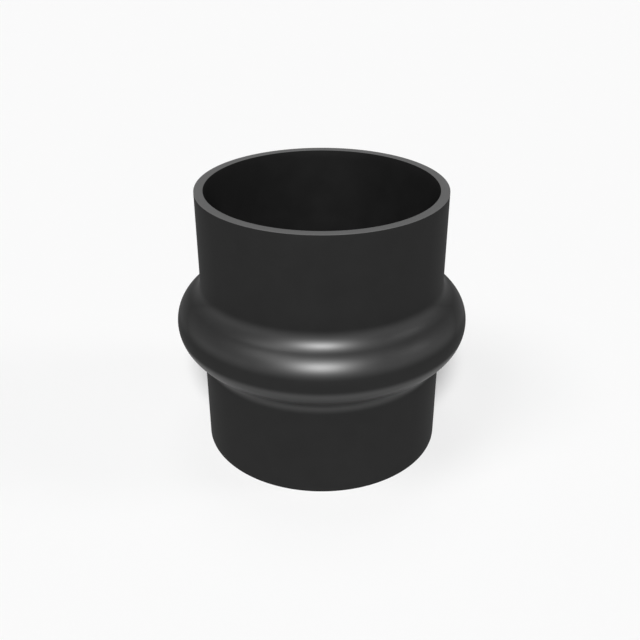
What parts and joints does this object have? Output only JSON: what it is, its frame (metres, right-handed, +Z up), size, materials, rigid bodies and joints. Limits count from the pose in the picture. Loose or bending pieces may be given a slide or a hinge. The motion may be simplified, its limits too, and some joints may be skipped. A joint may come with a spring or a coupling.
{
  "type": "air hose connector",
  "caption": "Black rubber air hose connector: a short wide tube with a plain cuff at each end and one hollow rounded hump round the middle, to join two pipes of the same size flexibly.",
  "frame": {"origin": "centre of the lower end face, on the axis", "axes": "+Z up the tube's axis from the lower cuff to the upper one; the shape is the same all round the axis"},
  "size_m": [0.1648, 0.1648, 0.1525],
  "materials": {
    "rubber": "smooth black moulded rubber, satin"
  },
  "bodies": {
    "root": {"hump_connector": "rubber"}
  },
  "joints": []
}
